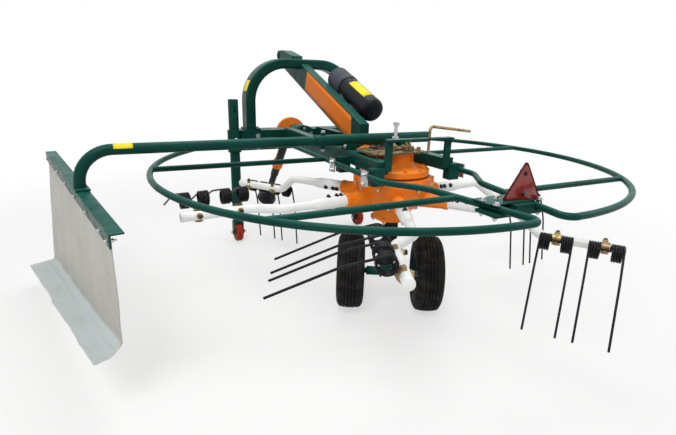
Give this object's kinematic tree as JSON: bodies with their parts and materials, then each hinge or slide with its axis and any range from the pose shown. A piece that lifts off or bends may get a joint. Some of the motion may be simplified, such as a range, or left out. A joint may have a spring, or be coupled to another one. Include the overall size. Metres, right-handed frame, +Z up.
{
  "type": "single rotor hay rake",
  "caption": "Mounted rotary hay rake: bent hitch arch, tined rotor under a tube guard, steered twin wheels, side curtain and hanging drive shaft.",
  "frame": {"origin": "middle of the parked machine's bounding box, on the ground", "axes": "+Z up, +Y forward towards the tractor, +X to the machine's right"},
  "size_m": [2.9866, 3.3468, 1.392],
  "materials": {
    "frame_enamel": "gloss enamel, dark petrol green",
    "gear_enamel": "gloss enamel, orange",
    "arm_enamel": "gloss enamel, white",
    "black_enamel": "satin black enamel",
    "zinc": "bright zinc",
    "yellow_zinc": "yellow passivated zinc",
    "cam_steel": "oiled steel",
    "bare_steel": "bare steel",
    "spring_steel": "black-coated spring steel",
    "tyre": "moulded rubber",
    "castor_plastic": "red moulded plastic",
    "collar_plastic": "orange moulded plastic",
    "black_plastic": "black moulded plastic",
    "canvas": "coated canvas",
    "reflector_red": "red reflector"
  },
  "bodies": {
    "machine_frame": {"cam_plate": "cam_steel", "canister_body": "black_plastic", "canister_cap": "black_plastic", "canister_cradle": "black_plastic", "column": "black_enamel", "curtain_sleeve": "frame_enamel", "gearbox_housing": "gear_enamel", "grease_block": "yellow_zinc", "guard_clamp_plates": "zinc", "guard_left": "frame_enamel", "guard_rear_plate": "frame_enamel", "guard_right": "frame_enamel", "headstock_arch": "frame_enamel", "hitch_crossbeam": "frame_enamel", "input_shield": "gear_enamel", "input_tube": "frame_enamel", "input_yoke": "bare_steel", "latch_rod": "yellow_zinc", "lower_hitch_pins": "zinc", "main_beams": "frame_enamel", "portal": "frame_enamel", "reflector": "reflector_red", "stop_screw": "zinc", "strut": "frame_enamel", "top_link_bracket": "frame_enamel", "web_plate": "frame_enamel"},
    "rotor": {"rotor_hub": "gear_enamel", "tine_clamps": "yellow_zinc", "rotor_arm_1": "arm_enamel", "rotor_arm_2": "arm_enamel", "rotor_arm_3": "arm_enamel", "rotor_arm_4": "arm_enamel", "rotor_arm_5": "arm_enamel", "rotor_arm_6": "arm_enamel", "tines_1": "spring_steel", "tines_2": "spring_steel", "tines_3": "spring_steel", "tines_4": "spring_steel", "tines_5": "spring_steel", "tines_6": "spring_steel"},
    "running_gear": {"carriage": "frame_enamel", "axle": "frame_enamel"},
    "wheel_left": {"tyre_left": "tyre", "rim_left": "frame_enamel"},
    "wheel_right": {"tyre_right": "tyre", "rim_right": "frame_enamel"},
    "stand_left": {"stand_leg_left": "frame_enamel"},
    "stand_right": {"stand_leg_right": "frame_enamel"},
    "castor_left": {"castor_wheel_left": "castor_plastic"},
    "castor_right": {"castor_wheel_right": "castor_plastic"},
    "curtain": {"curtain_arm": "frame_enamel", "curtain_bar": "frame_enamel", "curtain_sheet": "canvas"},
    "pto_shaft": {"pto_outer_guard": "black_plastic", "pto_collar": "collar_plastic"},
    "pto_inner": {"pto_inner_guard": "black_plastic", "pto_yoke": "bare_steel"}
  },
  "joints": [
    {"name": "rotor_spin", "type": "hinge", "parent": "machine_frame", "child": "rotor", "pos_m": [0.30995, -0.57854, 0.63], "axis": [0, 0, 1], "continuous": true},
    {"name": "carriage_swivel", "type": "hinge", "parent": "machine_frame", "child": "running_gear", "pos_m": [0.30995, -0.57854, 0.32], "axis": [0, 0, 1], "range_deg": [-1, 59]},
    {"name": "wheel_left_roll", "type": "hinge", "parent": "running_gear", "child": "wheel_left", "pos_m": [0.10942, -0.51541, 0.205], "axis": [0.8746, -0.4848, 0], "continuous": true},
    {"name": "wheel_right_roll", "type": "hinge", "parent": "running_gear", "child": "wheel_right", "pos_m": [0.46976, -0.71515, 0.205], "axis": [0.8746, -0.4848, 0], "continuous": true},
    {"name": "stand_left_lift", "type": "slide", "parent": "machine_frame", "child": "stand_left", "axis": [0, 0, 1], "range_m": [0, 0.3]},
    {"name": "stand_right_lift", "type": "slide", "parent": "machine_frame", "child": "stand_right", "axis": [0, 0, 1], "range_m": [0, 0.3]},
    {"name": "castor_left_roll", "type": "hinge", "parent": "stand_left", "child": "castor_left", "pos_m": [-0.20505, 0.70146, 0.07], "axis": [1, 0, 0], "continuous": true},
    {"name": "castor_right_roll", "type": "hinge", "parent": "stand_right", "child": "castor_right", "pos_m": [0.82495, 0.70146, 0.07], "axis": [1, 0, 0], "continuous": true},
    {"name": "curtain_reach", "type": "slide", "parent": "machine_frame", "child": "curtain", "axis": [-1, 0, 0], "range_m": [-0.06, 0.4]},
    {"name": "pto_joint", "type": "hinge", "parent": "machine_frame", "child": "pto_shaft", "pos_m": [0.30995, 0.99146, 0.768], "axis": [1, 0, 0], "range_deg": [0, 49]},
    {"name": "pto_telescope", "type": "slide", "parent": "pto_shaft", "child": "pto_inner", "axis": [0, 0.6561, -0.7547], "range_m": [-0.2, 0]}
  ]
}
